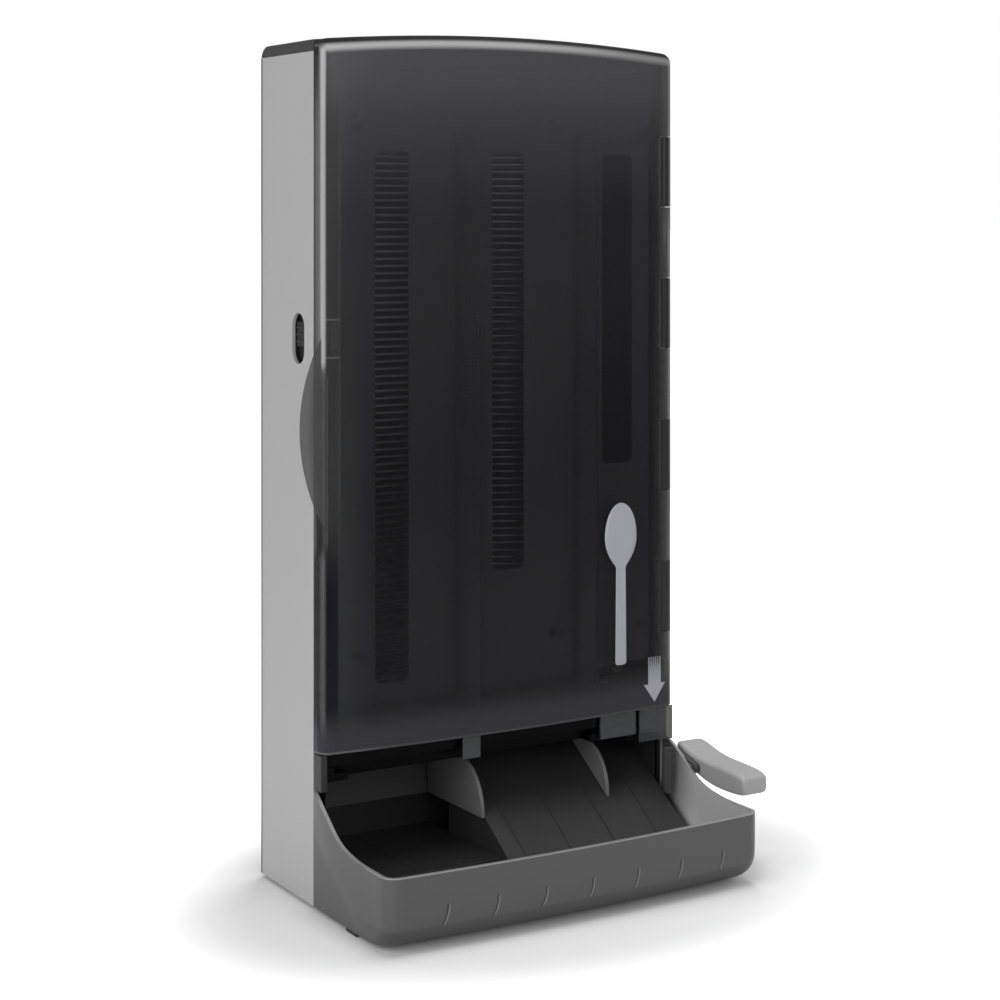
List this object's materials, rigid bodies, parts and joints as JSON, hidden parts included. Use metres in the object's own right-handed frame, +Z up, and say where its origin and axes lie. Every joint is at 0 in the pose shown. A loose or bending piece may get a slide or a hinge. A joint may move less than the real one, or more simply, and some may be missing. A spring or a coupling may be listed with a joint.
{
  "type": "cutlery dispenser",
  "caption": "Tall wall or counter cutlery dispenser with a smoke swing cover, gravity stack of spoons, two-gate release worked by a side lever, and a catch tray with a sloped deck.",
  "frame": {"origin": "middle of the whole dispenser's footprint box, on the surface it stands on", "axes": "+Z up, -Y towards the user (tray and cover side), +Y towards the wall, +X to the user's right where the lever is"},
  "size_m": [0.3504, 0.2144, 0.629],
  "materials": {
    "clear_plastic": "clear moulded",
    "dark_frame": "matte black moulded",
    "fin_plastic": "matte grey",
    "foot_rubber": "soft black",
    "gear_nylon": "natural nylon",
    "grey_panel": "fine matte grey",
    "lever_plastic": "fine matte light grey",
    "print_grey": "flat light grey ink",
    "smoke_cover": "polished dark smoke, see-through",
    "smoke_shell": "polished dark smoke",
    "spoon_plastic": "glossy black",
    "steel": "bright",
    "tray_plastic": "matte dark grey"
  },
  "bodies": {
    "housing": {"back_plate": "dark_frame", "left_panel": "grey_panel", "right_panel": "grey_panel", "top_cap": "smoke_shell", "top_plate": "dark_frame", "base_frame": "dark_frame", "left_cheek": "dark_frame", "right_cheek": "dark_frame", "outlet_frame": "dark_frame", "outlet_back": "grey_panel", "feet": "foot_rubber", "magazine_back": "dark_frame", "stack_guide_left": "dark_frame", "stack_guide_right": "dark_frame", "drive_wall": "dark_frame", "spoon_stack": "spoon_plastic", "hinge_strip": "smoke_shell", "hinge_pin": "steel", "latch_seat": "dark_frame", "latch_spring": "steel", "shaft_bush_outer": "gear_nylon", "shaft_bush_inner": "gear_nylon", "pinion_shaft": "steel", "tray": "tray_plastic", "deck": "tray_plastic", "well_floor": "tray_plastic", "fin_left": "fin_plastic", "fin_right": "fin_plastic", "back_screws": "steel", "cap_screws": "steel", "strip_screws": "steel", "guard_post": "dark_frame", "tray_screws": "steel", "outlet_ear": "clear_plastic", "corner_column": "tray_plastic"},
    "cover": {"front_cover": "smoke_cover", "door_liner": "dark_frame", "door_guides": "clear_plastic", "door_guard": "clear_plastic", "door_hook": "dark_frame", "spoon_icon": "print_grey", "arrow_icon": "print_grey", "liner_screws": "steel"},
    "latch": {"latch_slider": "fin_plastic"},
    "lever": {"lever_pad": "lever_plastic", "lever_arm": "lever_plastic", "lever_shaft": "steel", "lever_cap": "dark_frame", "drive_sector": "gear_nylon", "return_spring": "steel", "lever_screws": "steel"},
    "pinion": {"pinion": "gear_nylon"},
    "upper_gate": {"upper_gate": "dark_frame"},
    "lower_gate": {"lower_gate": "dark_frame"}
  },
  "joints": [
    {"name": "cover_swing", "type": "hinge", "parent": "housing", "child": "cover", "pos_m": [0.13522, 0.01045, 0.36], "axis": [0, 0, 1], "range_deg": [0, 110]},
    {"name": "latch_slide", "type": "slide", "parent": "housing", "child": "latch", "axis": [0, 0, -1], "range_m": [0, 0.007], "stiffness_N_per_m": 300, "springref_m": -0.01, "deforming": ["latch_spring"]},
    {"name": "lever_press", "type": "hinge", "parent": "housing", "child": "lever", "pos_m": [0.10872, 0.07525, 0.13389], "axis": [1, 0, 0], "range_deg": [0, 15], "stiffness_Nm_per_rad": 1.2, "springref_deg": -17.19},
    {"name": "pinion_turn", "type": "hinge", "parent": "housing", "child": "pinion", "pos_m": [0.09872, 0.03725, 0.116], "axis": [1, 0, 0], "range_deg": [-37.5, 0]},
    {"name": "lower_gate_slide", "type": "slide", "parent": "housing", "child": "lower_gate", "axis": [0, 1, 0], "range_m": [-0.00786, 0]},
    {"name": "upper_gate_slide", "type": "slide", "parent": "housing", "child": "upper_gate", "axis": [0, 1, 0], "range_m": [0, 0.00786]}
  ],
  "couplings": [
    {"joint": "pinion_turn", "follows": "lever_press", "ratio": -2.5},
    {"joint": "lower_gate_slide", "follows": "lever_press", "m_per_rad": -0.03},
    {"joint": "upper_gate_slide", "follows": "lever_press", "m_per_rad": 0.03}
  ]
}
